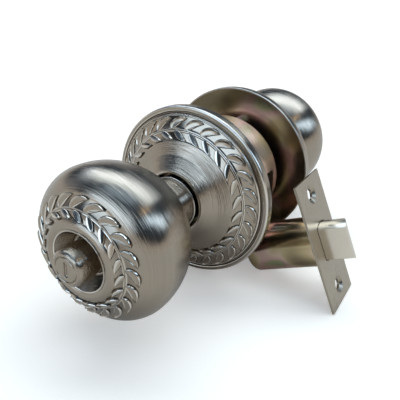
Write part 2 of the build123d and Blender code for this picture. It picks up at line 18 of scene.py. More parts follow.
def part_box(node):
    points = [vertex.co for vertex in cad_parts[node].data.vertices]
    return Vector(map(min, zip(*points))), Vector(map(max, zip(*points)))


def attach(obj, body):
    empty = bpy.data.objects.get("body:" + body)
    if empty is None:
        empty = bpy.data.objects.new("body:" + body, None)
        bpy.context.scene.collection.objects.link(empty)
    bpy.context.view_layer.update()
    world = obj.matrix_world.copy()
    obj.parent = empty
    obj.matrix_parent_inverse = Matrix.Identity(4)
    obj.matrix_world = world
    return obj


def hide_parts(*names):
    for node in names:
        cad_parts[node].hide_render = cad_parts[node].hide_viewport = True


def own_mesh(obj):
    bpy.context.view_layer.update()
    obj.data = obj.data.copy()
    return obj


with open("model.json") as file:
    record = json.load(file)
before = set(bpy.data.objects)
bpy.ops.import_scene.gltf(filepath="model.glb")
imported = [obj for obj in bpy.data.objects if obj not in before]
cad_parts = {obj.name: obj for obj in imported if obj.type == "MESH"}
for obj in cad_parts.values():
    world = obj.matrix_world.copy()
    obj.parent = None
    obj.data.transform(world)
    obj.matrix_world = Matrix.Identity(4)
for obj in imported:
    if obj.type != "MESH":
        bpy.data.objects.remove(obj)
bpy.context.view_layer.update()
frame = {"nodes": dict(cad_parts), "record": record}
mm = 0.001
print("packed nodes:", len(frame["nodes"]))

# %% [markdown]
# ## The camera
# The camera stands where the photograph was taken, a hand's width above the lock and to its right.
# Its three directions come from the two rose circles and the latch plate, whose sizes are known.
# They could be set by eye, but worked-out numbers let a render be laid over the photograph.

# %% Camera
picture_side = 400
focal_pixels = 459.9
sensor = 36.0
camera_place = Vector((91.59, -173.19, 91.59)) * mm
looks_right = Vector((0.8427, 0.5315, 0.0864)).normalized()
looks_down = Vector((0.3178, -0.3615, -0.8766)).normalized()
looks_ahead = Vector((-0.4346, 0.7661, -0.4735)).normalized()

lens = bpy.data.cameras.new("lock_camera")
lens.sensor_width = sensor
lens.lens = focal_pixels / picture_side * sensor
lens.clip_start, lens.clip_end = 0.01, 50.0
camera = bpy.data.objects.new("lock_camera", lens)
bpy.context.scene.collection.objects.link(camera)
turn = Matrix((looks_right, -looks_down, -looks_ahead)).transposed()
camera.matrix_world = Matrix.Translation(camera_place) @ turn.to_4x4()
bpy.context.scene.camera = camera
bpy.context.scene.view_settings.view_transform = "Standard"
print("lens:", round(lens.lens, 2), "mm")

# %% [markdown]
# ## Values that travel through a node tree
# Shader maths reads best as ordinary maths. `Wire` wraps one socket, and its operators add Math
# nodes, so `1 - mask * 0.5` means what it says. `Finish` builds a tree: its `node` method adds any
# other node from its type, its settings and its sockets.


# %% Wires and finishes
mix_share, mix_first, mix_second, mix_colour_output = 0, 6, 7, 2


class Wire:
    """One value in a node tree; the usual operators add the Math node that works them out."""

    def __init__(self, tree, socket):
        self.tree = tree
        self.socket = socket

    def math(self, operation, *terms, clamp=False):
        """Adds one Math node; each term is a wire or a plain number."""
        node = self.tree.nodes.new("ShaderNodeMath")
        node.operation = operation
        node.use_clamp = clamp
        for entry, term in zip(node.inputs, terms):
            if isinstance(term, Wire):
                self.tree.links.new(term.socket, entry)
            else:
                entry.default_value = term
        return Wire(self.tree, node.outputs[0])

    def __add__(self, other):
        return self.math("ADD", self, other)

    def __radd__(self, other):
        return self.math("ADD", other, self)

    def __sub__(self, other):
        return self.math("SUBTRACT", self, other)

    def __rsub__(self, other):
        return self.math("SUBTRACT", other, self)

    def __mul__(self, other):
        return self.math("MULTIPLY", self, other)

    def __rmul__(self, other):
        return self.math("MULTIPLY", other, self)

    def __truediv__(self, other):
        return self.math("DIVIDE", self, other)

    def root(self):
        """Square root of the value."""
        return self.math("SQRT", self)

    def size(self):
        """The value without its sign."""
        return self.math("ABSOLUTE", self)

    def held(self):
        """The value kept between 0 and 1."""
        return self.math("ADD", self, 0.0, clamp=True)


class Finish:
    """A node tree being built, for a material or for the sky."""

    def __init__(self, owner):
        owner.use_nodes = True
        self.owner = owner
        self.tree = owner.node_tree
        self.tree.nodes.clear()

    def node(self, kind, settings=None, sockets=None, out=0):
        """Adds a node, sets it, then fills its sockets with values or wires."""
        node = self.tree.nodes.new("ShaderNode" + kind)
        for name, value in (settings or {}).items():
            if name == "stops":
                ramp = node.color_ramp
                while len(ramp.elements) < len(value):
                    ramp.elements.new(0.5)
                for element, (place, colour) in zip(ramp.elements, value):
                    element.position = place
                    element.color = (*colour, 1.0)
            else:
                setattr(node, name, value)
        for name, value in (sockets or {}).items():
            if isinstance(value, Wire):
                self.tree.links.new(value.socket, node.inputs[name])
            else:
                node.inputs[name].default_value = value
        return Wire(self.tree, node.outputs[out]) if node.outputs else None

    def blend(self, share, first, second):
        """Colour between two colours by a share. A Mix node holds sockets for every kind of data, several
        with the same name, so the ones for colours are told by their numbers."""
        entries = {mix_share: share, mix_first: first, mix_second: second}
        for key in (mix_first, mix_second):
            if not isinstance(entries[key], Wire):
                entries[key] = (*entries[key], 1.0)
        return self.node("Mix", {"data_type": "RGBA"}, entries, out=mix_colour_output)

    def noise(self, vector, scale, detail=2.0, w=None):
        """Soft noise between about 0.3 and 0.7, in three dimensions or four."""
        sockets = {"Vector": vector, "Scale": scale, "Detail": detail}
        settings = {}
        if w is not None:
            settings["noise_dimensions"] = "4D"
            sockets["W"] = w
        return self.node("TexNoise", settings, sockets)

    def vector(self, x, y, z):
        """Three wires or numbers joined into one vector."""
        return self.node("CombineXYZ", None, {"X": x, "Y": y, "Z": z})

    def ramp(self, value, low, high, start=0.0, end=1.0):
        """Smooth step from start to end while the value goes from low to high."""
        sockets = {"Value": value, "From Min": low, "From Max": high, "To Min": start, "To Max": end}
        return self.node("MapRange", {"interpolation_type": "SMOOTHSTEP"}, sockets)


# %% [markdown]
# ## The floor and the sky
# Metal is only as good as what it mirrors. The floor is a wide pale sheet with a warm tint, since
# every lower half shows it. For the camera alone it is a little paler and glows a little, which
# turns it white round the lock and leaves the shadow on it.
#
# The sky is a dim studio with soft rectangular windows. A window could be a lamp, but a lamp's
# soft edge can't be chosen. So each one is worked out from the direction alone: the direction's
# share across the window, and its share up the window, are divided by its share towards it. A
# white band along the horizon is the backdrop. The camera and the metal see it, but it throws no
# light on anything that is matt.

# %% Floor
floor_height = -37.62 * mm
floor_half = 6.0
floor_steps = 5
floor_colour = (0.86, 0.73, 0.61)
floor_camera_colour = (0.97, 0.84, 0.70)
floor_camera_glow = (0.32, 0.32, 0.32)
floor_roughness = 0.85
black, white = (0.0, 0.0, 0.0), (1.0, 1.0, 1.0)


def sheet_points(half, height, steps):
    """Grid of points: x and y run from -half to half, and z is the height."""
    run = np.linspace(-half, half, steps)
    x, y = np.meshgrid(run, run, indexing="ij")
    return np.stack([x, y, np.full_like(x, height)], axis=-1)


def grid_faces(rows, columns, wrap_rows, wrap_columns):
    """Quads between neighbouring rows and columns of a grid, joined round where it wraps."""
    i = np.arange(rows if wrap_rows else rows - 1)[:, None]
    j = np.arange(columns if wrap_columns else columns - 1)[None, :]
    next_i, next_j = (i + 1) % rows, (j + 1) % columns
    corners = [i * columns + j, next_i * columns + j, next_i * columns + next_j, i * columns + next_j]
    return np.stack(np.broadcast_arrays(*corners), axis=-1).reshape(-1, 4)


floor_points = sheet_points(floor_half, floor_height, floor_steps).reshape(-1, 3)
floor_mesh = bpy.data.meshes.new("pale_floor")
floor_mesh.from_pydata(floor_points, [], grid_faces(floor_steps, floor_steps, False, False))
floor = bpy.data.objects.new("pale_floor", floor_mesh)
bpy.context.scene.collection.objects.link(floor)

pale = Finish(bpy.data.materials.new("pale_sheet"))
seen_by_camera = pale.node("LightPath", out="Is Camera Ray")
pale_sockets = {
    "Base Color": pale.blend(seen_by_camera, floor_colour, floor_camera_colour),
    "Roughness": floor_roughness,
    "Emission Color": pale.blend(seen_by_camera, black, floor_camera_glow),
    "Emission Strength": 1.0,
}
pale_shader = pale.node("BsdfPrincipled", None, pale_sockets)
pale.node("OutputMaterial", None, {"Surface": pale_shader})
floor_mesh.materials.append(pale.owner)
print("floor:", round(floor_height / mm, 2), "mm under the knob axis")

# %% Sky
sky = Finish(bpy.data.worlds.new("studio"))
bpy.context.scene.world = sky.owner
toward = sky.node("TexCoord")
least_ahead, window_horizon = 0.001, 0.05
dot_output = 1


def along(direction):
    """How far the sky direction points along a fixed direction."""
    return sky.node("VectorMath", {"operation": "DOT_PRODUCT"}, {0: toward, 1: direction}, out=dot_output)


def window(centre, side, half_wide, half_tall, edge, colour):
    """Soft rectangle of light in the sky, as a colour wire. A direction's shares across and up the window
    are divided by its share ahead, and each quotient fades out round the window's half size."""
    centre = Vector(centre).normalized()
    side = (Vector(side) - centre * centre.dot(Vector(side))).normalized()
    up = centre.cross(side)
    ahead = along(centre)
    front = ahead.math("MAXIMUM", ahead, least_ahead)
    wide = sky.ramp((along(side) / front).size(), half_wide - edge, half_wide + edge, 1.0, 0.0)
    tall = sky.ramp((along(up) / front).size(), half_tall - edge, half_tall + edge, 1.0, 0.0)
    mask = wide * tall * sky.ramp(ahead, 0.0, window_horizon)
    return sky.node("VectorMath", {"operation": "SCALE"}, {"Vector": colour, "Scale": mask})


right_side = (-0.1, 0.85, -0.38)
windows = [
    # Overhead: a broad bright one behind the lock and a weak one over it.
    window((-0.19, 0.42, 0.89), looks_right, 0.78, 0.31, 0.12, (2.58, 3.12, 3.66)),
    window((0.02, -0.22, 0.97), looks_right, 0.46, 0.20, 0.12, (0.54, 0.78, 1.08)),
    # On the left: a strip high up and a faint one low down.
    window((-0.74, 0.12, 0.60), (0.08, 0.99, -0.15), 0.34, 0.11, 0.08, (0.96, 1.17, 1.5)),
    window((-0.90, -0.30, 0.32), (0.6, -0.8, 0.0), 0.30, 0.12, 0.12, (0.3, 0.34, 0.42)),
    # On the right: a long cool strip, a small one beyond it and a small warm one above it.
    window((0.76, 0.28, 0.58), right_side, 0.58, 0.11, 0.06, (1.5, 2.1, 2.88)),
    window((0.74, 0.50, 0.45), right_side, 0.16, 0.14, 0.06, (0.84, 1.14, 1.44)),
    window((0.58, 0.10, 0.81), (0.5, -0.8, 0.0), 0.16, 0.05, 0.04, (2.28, 1.74, 1.02)),
    # In front: a large low one, which faces the button.
    window((-0.12, -0.90, 0.38), (0.98, 0.0, 0.0), 0.52, 0.24, 0.07, (1.74, 2.28, 2.94)),
]

# %% Dim sky and backdrop
dim_low, dim_high, dim_top = (0.024, 0.024, 0.025), (0.078, 0.12, 0.18), 0.75
backdrop_solid, backdrop_gone, backdrop_in_metal = 0.15, 0.21, 0.7

height = along((0.0, 0.0, 1.0))
dim = sky.blend(sky.ramp(height, 0.0, dim_top), dim_low, dim_high)
backdrop_rays = ("Is Camera Ray", "Is Glossy Ray", "Is Transmission Ray")
camera_ray, glossy_ray, glass_ray = (sky.node("LightPath", out=kind) for kind in backdrop_rays)
seen = (camera_ray + (glossy_ray + glass_ray) * backdrop_in_metal).held()
backdrop = (1.0 - sky.ramp(height, backdrop_solid, backdrop_gone)) * seen
light = sky.blend(backdrop, dim, white)
for one in windows:
    light = sky.node("VectorMath", {"operation": "ADD"}, {0: light, 1: one})
sky_light = sky.node("Background", None, {"Color": light, "Strength": 1.0})
sky.node("OutputWorld", None, {"Surface": sky_light})
print("sky windows:", len(windows))

# %% [markdown]
# ## Satin steel
# The knobs and roses were brushed while they turned, so the marks run round the knob axis and the
# lights stretch across them. The pattern is noise whose first two coordinates are the radius and
# the height, closely packed, and whose last two are the turn about the axis, stretched wide. The
# cosine and sine of the turn are used in place of the angle, so there is no seam. The shader's
# Anisotropic socket could stretch the lights too, but only a bump comes through when it is baked.

# %% Brushed about the knob axis
object_output, attribute_value_output = 3, 2
fine_stretch, coarse_stretch = 1.6, 1.2
axis_guard = 1e-9


def object_place(finish):
    """Place on the piece in the lock's own frame."""
    return finish.node("TexCoord", out=object_output)


def knob_axis(finish):
    """Radius from the knob axis, place along it, and the cosine and sine of the turn."""
    place = object_place(finish)
    x, y, z = (finish.node("SeparateXYZ", None, {0: place}, out=name) for name in "XYZ")
    radius = (x * x + z * z + axis_guard).root()
    return radius, y, x / radius, z / radius


def brushed(finish, radius, height, cosine, sine, fine, coarse):
    """Brush marks as a value: fine ones and coarse ones, both stretched along the turn."""
    marks = []
    for scale, stretch in ((fine, fine_stretch), (coarse, coarse_stretch)):
        packed = finish.vector(radius * scale, height * scale, cosine * stretch)
        marks.append(finish.noise(packed, 1.0, 1.0, w=sine * stretch))
    return marks[0], marks[1]


def metal(finish, colour, roughness, marks, depth):
    """Metal shader with brush marks as a bump, wired to the output."""
    bump = finish.node("Bump", None, {"Strength": 1.0, "Distance": depth, "Height": marks})
    sockets = {"Base Color": colour, "Metallic": 1.0, "Roughness": roughness, "Normal": bump}
    shader = finish.node("BsdfPrincipled", None, sockets)
    finish.node("OutputMaterial", None, {"Surface": shader})
    return finish.owner


# %% Satin steel
steel_fine, steel_coarse, steel_cloud = 6500.0, 1700.0, 90.0


def satin_steel(name, light, dark, painted_highlight_colour, painted_shade_colour, roughness, depth):
    """Warm satin steel, brushed round the knob axis. Two attributes of the mesh are read: pressed, which is
    1 where the brush never reached, and relief, from a sharp crest (1), which gets a painted highlight, to a
    sharp foot (-1), which gets painted shade."""
    finish = Finish(bpy.data.materials.new(name))
    radius, height, cosine, sine = knob_axis(finish)
    fine, coarse = brushed(finish, radius, height, cosine, sine, steel_fine, steel_coarse)
    cloud = finish.noise(finish.vector(cosine * radius, height, sine * radius), steel_cloud, 3.0)
    relief, pressed = (
        finish.node("Attribute", {"attribute_name": label}, out=attribute_value_output)
        for label in ("relief", "pressed")
    )
    # Painted highlight: sharp crests turn towards a near-white colour. Painted shade: sharp feet and creases
    # turn dark.
    crest, foot = relief.held(), (0.0 - relief).held()
    colour = finish.blend((coarse * 0.7 + cloud * 0.5).held(), dark, light)
    colour = finish.blend(crest * 0.75, colour, painted_highlight_colour)
    colour = finish.blend(foot * 0.85, colour, painted_shade_colour)
    rough = roughness + (fine - 0.5) * 0.12 + (cloud - 0.5) * 0.06 - pressed * 0.05 + foot * 0.15
    marks = (fine * 0.9 + coarse * 0.1) * (1.0 - pressed * 0.85)
    return metal(finish, colour, rough, marks, depth)


steel = satin_steel(
    "satin_steel",
    light=(0.41, 0.347, 0.275),
    dark=(0.30, 0.254, 0.202),
    # A painted highlight colour for sharp crests, and a painted shade colour for sharp feet and creases.
    painted_highlight_colour=(0.96, 0.91, 0.82),
    painted_shade_colour=(0.10, 0.083, 0.067),
    roughness=0.16,
    depth=0.07 * mm,
)
print("finish:", steel.name)

# %% [markdown]
# ## Iridescent zinc plate
# The chassis, the plates behind the roses and the latch tube are dipped in yellow zinc. Its film
# is thinner and thicker from place to place, which turns the light gold, rose, green and violet.
# Warped noise stands for the film's thickness, and a colour ramp turns it into those colours. A
# film shader could work the colours out, but the ramp also comes through when the model is baked.

# %% Zinc
film_warp, film_spots, film_grain = 0.6, 9.0, 2600.0
film_depth = 0.008 * mm
noise_colour_output = 1
film_colours = [
    (0.30, (0.21, 0.165, 0.10)),
    (0.42, (0.34, 0.27, 0.15)),
    (0.50, (0.46, 0.355, 0.27)),
    (0.57, (0.44, 0.29, 0.26)),
    (0.64, (0.27, 0.28, 0.15)),
    (0.74, (0.22, 0.19, 0.17)),
]


def zinc_plate(name, scale, roughness, shade, middle, spread):
    """Zinc whose film wanders between gold, rose, green and violet. The ramp is read at the middle value
    plus the noise times the spread, and its colours are multiplied by the shade."""
    finish = Finish(bpy.data.materials.new(name))
    place = object_place(finish)
    warp_sockets = {"Vector": place, "Scale": scale * film_warp, "Detail": 2.0}
    warp = finish.node("TexNoise", None, warp_sockets, out=noise_colour_output)
    push = finish.node("VectorMath", {"operation": "SCALE"}, {"Vector": warp, "Scale": film_warp / scale})
    moved = finish.node("VectorMath", {"operation": "ADD"}, {0: place, 1: push})
    film = finish.noise(moved, scale, 1.5)
    spots = finish.noise(place, scale * film_spots, 4.0)
    ramp_value = middle + (film - 0.5) * spread + (spots - 0.5) * 0.02
    colours = [(stop, tuple(channel * shade for channel in colour)) for stop, colour in film_colours]
    colour = finish.node("ValToRGB", {"stops": colours}, {"Fac": ramp_value})
    rough = roughness + (spots - 0.5) * 0.05
    grain = finish.noise(place, film_grain, 3.0)
    return metal(finish, colour, rough, grain, film_depth)


zinc = zinc_plate("zinc_plate", scale=42.0, roughness=0.22, shade=1.58, middle=0.50, spread=1.5)
# The drum's copy is rosier and lighter, partly a painted highlight. The copies inside the lock and behind
# the roses are darker, a painted shade.
zinc_rose_lit = zinc_plate("zinc_plate_drum_lit", scale=34.0, roughness=0.26, shade=2.15, middle=0.55, spread=0.45)
zinc_shaded_inside = zinc_plate("zinc_plate_inside_shaded", scale=70.0, roughness=0.36, shade=1.03, middle=0.50, spread=1.5)
zinc_shaded_behind = zinc_plate("zinc_plate_behind_shaded", scale=30.0, roughness=0.24, shade=0.73, middle=0.48, spread=1.6)
print("finishes:", zinc.name, zinc_rose_lit.name, zinc_shaded_inside.name, zinc_shaded_behind.name)

# %% [markdown]
# ## Bright steel, spring wire and brass
# The latch's plates and bolt are nearly polished, with faint straight marks along the plate. The
# plate leans, so the marks are packed across the plate's own width, which is Y, and stretched
# along it. Springs are drawn wire, and the key cylinder is turned brass.

# %% Bright steel
straight_packing = (60.0, 3600.0, 60.0)
polish_cloud = 160.0
lathe_fine, lathe_coarse = 7000.0, 2600.0


def bright_steel(name, light, dark, roughness, depth):
    """Nearly polished steel with straight marks packed along Y."""
    finish = Finish(bpy.data.materials.new(name))
    place = object_place(finish)
    packed = finish.node("VectorMath", {"operation": "MULTIPLY"}, {0: place, 1: straight_packing})
    fine = finish.noise(packed, 1.0, 1.0)
    cloud = finish.noise(place, polish_cloud, 3.0)
    colour = finish.blend((fine * 0.5 + cloud * 0.6).held(), dark, light)
    rough = roughness + (fine - 0.5) * 0.12 + (cloud - 0.5) * 0.14
    return metal(finish, colour, rough, fine * 0.8 + cloud * 0.2, depth)


def turned_metal(name, light, dark, roughness, depth):
    """Metal turned on a lathe about the knob axis, with finer rings than the brushed steel."""
    finish = Finish(bpy.data.materials.new(name))
    radius, height, cosine, sine = knob_axis(finish)
    fine, coarse = brushed(finish, radius, height, cosine, sine, lathe_fine, lathe_coarse)
    colour = finish.blend((fine * 0.5 + coarse * 0.5).held(), dark, light)
    return metal(finish, colour, roughness + (fine - 0.5) * 0.2, fine, depth)


# The bolt's steel is lighter, partly a painted highlight. The plates' steel is darker, a painted shade.
bright = bright_steel("bright_steel", (0.83, 0.75, 0.63), (0.67, 0.60, 0.50), 0.22, 0.01 * mm)
door_plate_shaded = bright_steel("door_plate_steel", (0.48, 0.41, 0.32), (0.35, 0.30, 0.235), 0.30, 0.01 * mm)
spring_wire = bright_steel("spring_wire", (0.83, 0.82, 0.78), (0.53, 0.52, 0.50), 0.30, 0.03 * mm)
brass = turned_metal("turned_brass", (0.93, 0.74, 0.40), (0.78, 0.57, 0.27), 0.24, 0.02 * mm)
print("finishes:", bright.name, door_plate_shaded.name, spring_wire.name, brass.name)

# %% [markdown]
# ## Which finish goes where
# The imported record gives each node a material slot, so a table from slot to finish reaches every
# node at once. Each node could be given its finish by hand, but one would soon be forgotten. A few
# differ from their slot: the drum is rosier and lighter, partly a painted highlight; the two plates
# behind the roses are darker and more olive, a painted shade; the latch's plates are darker, a
# painted shade; and zinc that sits inside the lock is darker, a painted shade, and rougher.

# %% Finishes on the imported nodes
finish_of_slot = {
    "satin_steel": steel,
    "zinc_plate": zinc,
    "bright_steel": bright,
    "spring_steel": spring_wire,
    "brass": brass,
}
inner_zinc = {"inside_end_plate", "outside_end_plate", "inside_spindle", "outside_spindle", "locking_bar",
              "button_carrier", "latch_end_plug", "latch_tail_bar", "through_screws"}
for part in frame["record"]["subparts"]:
    chosen = finish_of_slot[part["material_slot"]]
    # Lit and shaded copies: the darker finishes are painted shade, and the drum's lighter one is partly a
    # painted highlight.
    if part["node"] in inner_zinc:
        chosen = zinc_shaded_inside
    elif part["node"] == "chassis_housing":
        chosen = zinc_rose_lit
    elif part["node"] in ("outside_backing_plate", "inside_mounting_plate"):
        chosen = zinc_shaded_behind
    elif part["node"] in ("latch_face_plate", "latch_under_plate"):
        chosen = door_plate_shaded
    for slot in frame["nodes"][part["node"]].material_slots:
        slot.material = chosen

# %% [markdown]
# ## Turned skins
# Knobs, roses, necks and the recess are surfaces of revolution. A profile is a list of corners
# given as radius, height and rounding, in millimetres. Each corner is replaced by a small curve,
# and the profile is then carried round the knob axis as one array of points. A Screw modifier
# could turn the profile too. Arrays are used because each point can then keep its relief, which
# paints a highlight on a sharp crest and shade in a sharp corner.

# %% Profiles and skins
most_of_a_side = 0.45
same_point = 1e-6
outside_depth = 12.0
fold_angle, edge_angle = 32.0, 40.0
rounding_weight, rounding_least = 1.2, 0.2
relief_from, relief_span = 0.5, 0.7


def softened(corners, steps=5):
    """Closed profile and its relief: each corner becomes a parabola between points one rounding away on its
    sides, and its relief is its turn over its rounding, which fades to nothing at both ends."""
    corners = np.array(corners, float)
    spot, rounding = corners[:, :2], corners[:, 2]
    before, after = np.roll(spot, 1, axis=0) - spot, np.roll(spot, -1, axis=0) - spot
    long_before, long_after = np.linalg.norm(before, axis=1), np.linalg.norm(after, axis=1)
    reach = np.minimum(rounding, most_of_a_side * np.minimum(long_before, long_after))[:, None]
    first, last = spot + before / long_before[:, None] * reach, spot + after / long_after[:, None] * reach
    k = np.linspace(0, 1, steps)[None, :, None]
    curve = (1 - k) ** 2 * first[:, None] + 2 * k * (1 - k) * spot[:, None] + k**2 * last[:, None]
    cross = after[:, 0] * before[:, 1] - after[:, 1] * before[:, 0]
    turn = np.arctan2(cross, -(before * after).sum(axis=1))
    ahead = np.roll(spot, -1, axis=0)
    winding = np.sign((spot[:, 0] * ahead[:, 1] - ahead[:, 0] * spot[:, 1]).sum())
    bent = np.abs(turn) / (rounding_weight * rounding + rounding_least)
    sharp = np.sign(winding * turn) * np.clip((bent - relief_from) / relief_span, 0, 1)
    relief = (sharp[:, None] * np.sin(np.pi * k[..., 0]) ** 0.5).reshape(-1)
    points = curve.reshape(-1, 2)
    gap = np.linalg.norm(points - np.roll(points, 1, axis=0), axis=1)
    keep = gap > same_point
    return points[keep], relief[keep]


def turned_points(profile, segments, side):
    """Point (s, k) is (r cos t, side h, r sin t) for the k-th profile point (r, h) and the s-th turn t."""
    angle = np.arange(segments) * 2 * np.pi / segments
    radius, height = profile[:, 0], profile[:, 1]
    x = np.cos(angle)[:, None] * radius
    z = np.sin(angle)[:, None] * radius
    return np.stack([x, np.broadcast_to(side * height, x.shape), z], axis=-1)


def turned_part(profile, relief, segments, side, pressed_from=0.0, pressed_to=0.0):
    """Points, faces, relief and pressed share of a turned skin, pressed between two radii of its outside."""
    points = turned_points(profile, segments, side)
    level = profile[:, 1]
    outer = level > level.max() - outside_depth
    pressed = ((profile[:, 0] > pressed_from) & (profile[:, 0] < pressed_to) & outer).astype(float)
    spread = np.ones((segments, 1))
    return points, grid_faces(segments, len(profile), True, True), spread * relief, spread * pressed


def outward(mesh):
    """Turns the faces of every closed shell outwards."""
    shell = bmesh.new()
    shell.from_mesh(mesh)
    bmesh.ops.recalc_face_normals(shell, faces=shell.faces)
    shell.to_mesh(mesh)
    shell.free()


# %% From arrays to a piece
def make_piece(name, parts, material, body, nodes, sharp=fold_angle):
    """One object from several arrays of points and faces; it rides on its body and stands for its nodes."""
    start, points, faces, relief, pressed = 0, [], [], [], []
    for part_points, part_faces, part_relief, part_pressed in parts:
        flat = part_points.reshape(-1, 3)
        points.append(flat)
        faces.extend((part_faces + start).tolist())
        relief.append(np.broadcast_to(part_relief, part_points.shape[:-1]).reshape(-1))
        pressed.append(np.broadcast_to(part_pressed, part_points.shape[:-1]).reshape(-1))
        start += len(flat)
    mesh = bpy.data.meshes.new(name)
    mesh.from_pydata(np.concatenate(points) * mm, [], faces)
    mesh.materials.append(material)
    mesh.polygons.foreach_set("use_smooth", np.ones(len(mesh.polygons), bool))
    mesh.set_sharp_from_angle(angle=math.radians(sharp))
    mesh.update()
    outward(mesh)
    for label, values in (("relief", relief), ("pressed", pressed)):
        mesh.attributes.new(label, "FLOAT", "POINT").data.foreach_set("value", np.concatenate(values))
    piece = bpy.data.objects.new(name, mesh)
    bpy.context.scene.collection.objects.link(piece)
    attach(piece, body)
    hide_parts(*nodes)
    print(name, len(mesh.polygons), "faces")
    return piece


# %% [markdown]
# ## The wreath
# A press sinks the metal round each leaf, so a leaf stands up with a soft flat back, a steep edge
# and a slightly raised rim. Here a leaf is a closed skin: sections across it are carried along a
# curved midrib. The sections are then laid on the cone that carries the band, and copied round it.
# A bump map would be quicker, but it looks flat at a grazing angle, and the mesh would lack it.

# %% One leaf
leaf_rings = 28
tip_length = 0.1
top_across = np.array([1.0, 0.99, 0.96, 0.91, 0.84, 0.75, 0.66, 0.56, 0.40, 0.15])
leaf_across = np.concatenate([top_across, -top_across[::-1], [-0.6, -0.2, 0.2, 0.6]])
leaf_round = len(leaf_across)
leaf_top = 2 * len(top_across)
under_metal = -0.6


def leaf_section(hump):
    """Height across a leaf: a sloping floor between two rims, of which the back one is rounder and higher,
    mixed with a plain hump by a share."""
    u = leaf_across
    rims = 0.42 * np.exp(-(((u - 0.70) / 0.17) ** 2)) + 0.34 * np.exp(-(((u + 0.80) / 0.12) ** 2))
    rimmed = (0.52 + 0.22 * u + rims) * np.sqrt(np.maximum(0.0, 1 - np.abs(u) ** 6))
    humped = (1.15 + 0.45 * u) * np.sqrt(np.maximum(0.0, 1 - u**2))
    section = rimmed * (1 - hump) + humped * hump
    section[leaf_top:] = under_metal
    return section


def leaf_relief(hump):
    """Relief across a leaf: a painted highlight on the rims or on the hump, and painted shade at the foot
    all round and underneath.
    """
    u = leaf_across
    rims = np.exp(-(((u - 0.74) / 0.15) ** 2)) + np.exp(-(((u + 0.80) / 0.12) ** 2))
    crown = np.exp(-(((u - 0.3) / 0.4) ** 2))
    relief = (rims * (1 - hump) + crown * hump).clip(0, 1)
    # Painted shade along the leaf's edge, where it meets the band, and on its underside.
    relief = relief - 1.6 * np.clip((np.abs(u) - 0.94) / 0.05, 0, 1)
    relief[leaf_top:] = -1.0
    return relief


def leaf_skin(length, width, lift, end_angle, hump, start_angle=60.0):
    """Closed leaf as run along the stem, reach away from it and height. The midrib bends evenly from the
    start angle to the end angle; the width grows fast from the root and shrinks evenly to a point."""
    share = (1 - np.cos(np.linspace(0.0, 1.0, leaf_rings + 2)[1:-1] * np.pi)) / 2
    bend = np.radians(start_angle + (end_angle - start_angle) * share)
    step = np.diff(share, prepend=0.0) * length
    run, reach = np.cumsum(np.cos(bend) * step), np.cumsum(np.sin(bend) * step)
    half = width / 2 * (share / 0.4) ** 0.6 * ((1 - share) / 0.6) ** 0.9
    rise = lift * (0.55 + 0.45 * share) * np.sqrt(1 - share**12) * np.minimum(1.0, share / 0.05) ** 0.5
    side_run, side_reach = -np.sin(bend), np.cos(bend)
    skin = np.stack(
        [
            run[:, None] + (side_run * half)[:, None] * leaf_across,
            reach[:, None] + (side_reach * half)[:, None] * leaf_across,
            rise[:, None] * leaf_section(hump),
        ],
        axis=-1,
    )
    root = np.zeros((1, leaf_round, 3))
    tip = np.zeros((1, leaf_round, 3)) + (run[-1] + tip_length, reach[-1], 0.0)
    return np.concatenate([root, skin, tip], axis=0)


# %% Leaves round a cone
stem_half = 0.15
outer_offset, inner_offset = 0.25, 0.6


def wreath_parts(pairs, stem_radius, stem_height, slope, outer, inner, side):
    """Points and faces of all leaves: reach goes down the cone, height stands square to it, and the run
    along the stem is divided by the radius to give the turn."""
    tilt = math.atan(slope)
    parts = []
    for sign, leaf, offset in ((1, outer, outer_offset), (-1, inner, inner_offset)):
        skin = leaf_skin(**leaf)
        run, reach, height = skin[..., 0], sign * (skin[..., 1] + stem_half), skin[..., 2]
        radius = stem_radius + reach * math.cos(tilt) + height * math.sin(tilt)
        level = stem_height - reach * math.sin(tilt) + height * math.cos(tilt)
        turn_start = -2 * np.pi * (np.arange(pairs) + offset) / pairs
        angle = turn_start[:, None, None] - run[None] / (stem_radius + 0.4 * sign * leaf["length"])
        x, z = radius[None] * np.cos(angle), radius[None] * np.sin(angle)
        y = np.broadcast_to(side * level[None], x.shape)
        points = np.stack([x, y, z], axis=-1)
        relief = np.broadcast_to(leaf_relief(leaf["hump"]), (pairs, leaf_rings + 2, leaf_round))
        one = grid_faces(leaf_rings + 2, leaf_round, False, True)
        per_leaf = (leaf_rings + 2) * leaf_round
        faces = (one[None] + (np.arange(pairs) * per_leaf)[:, None, None]).reshape(-1, 4)
        parts.append((points, faces, relief, 1.0))
    return parts


# %% [markdown]
# ## The roses
# A rose is a pressed dish: a bright rounded rim, a groove, a fine bead, the wreath band, a plain
# cone, a sharp bevel round the collar and a lip turned in to the neck. Bevels could be added to a
# plain dish, but the list of corners reads like a drawing of the sheet cut through, and it gives
# the sheet its thickness as well.

# %% Roses
door_face = 19.0
turn_steps = 288
band_inside, band_outside = (24.5, 9.1), (34.1, 4.7)
rose_slope = (band_inside[1] - band_outside[1]) / (band_outside[0] - band_inside[0])
rose_stem = 28.6
rose_pressed = (24.6, 33.9)
rose_pairs = 26
rose_outer_leaf = {"length": 9.2, "width": 3.6, "lift": 1.05, "end_angle": 6, "hump": 0.0}
rose_inner_leaf = {"length": 7.2, "width": 2.6, "lift": 1.1, "end_angle": 8, "hump": 0.7}


def band_height(radius):
    """Height of the rose's wreath band over the door face."""
    return band_inside[1] - (radius - band_inside[0]) * rose_slope


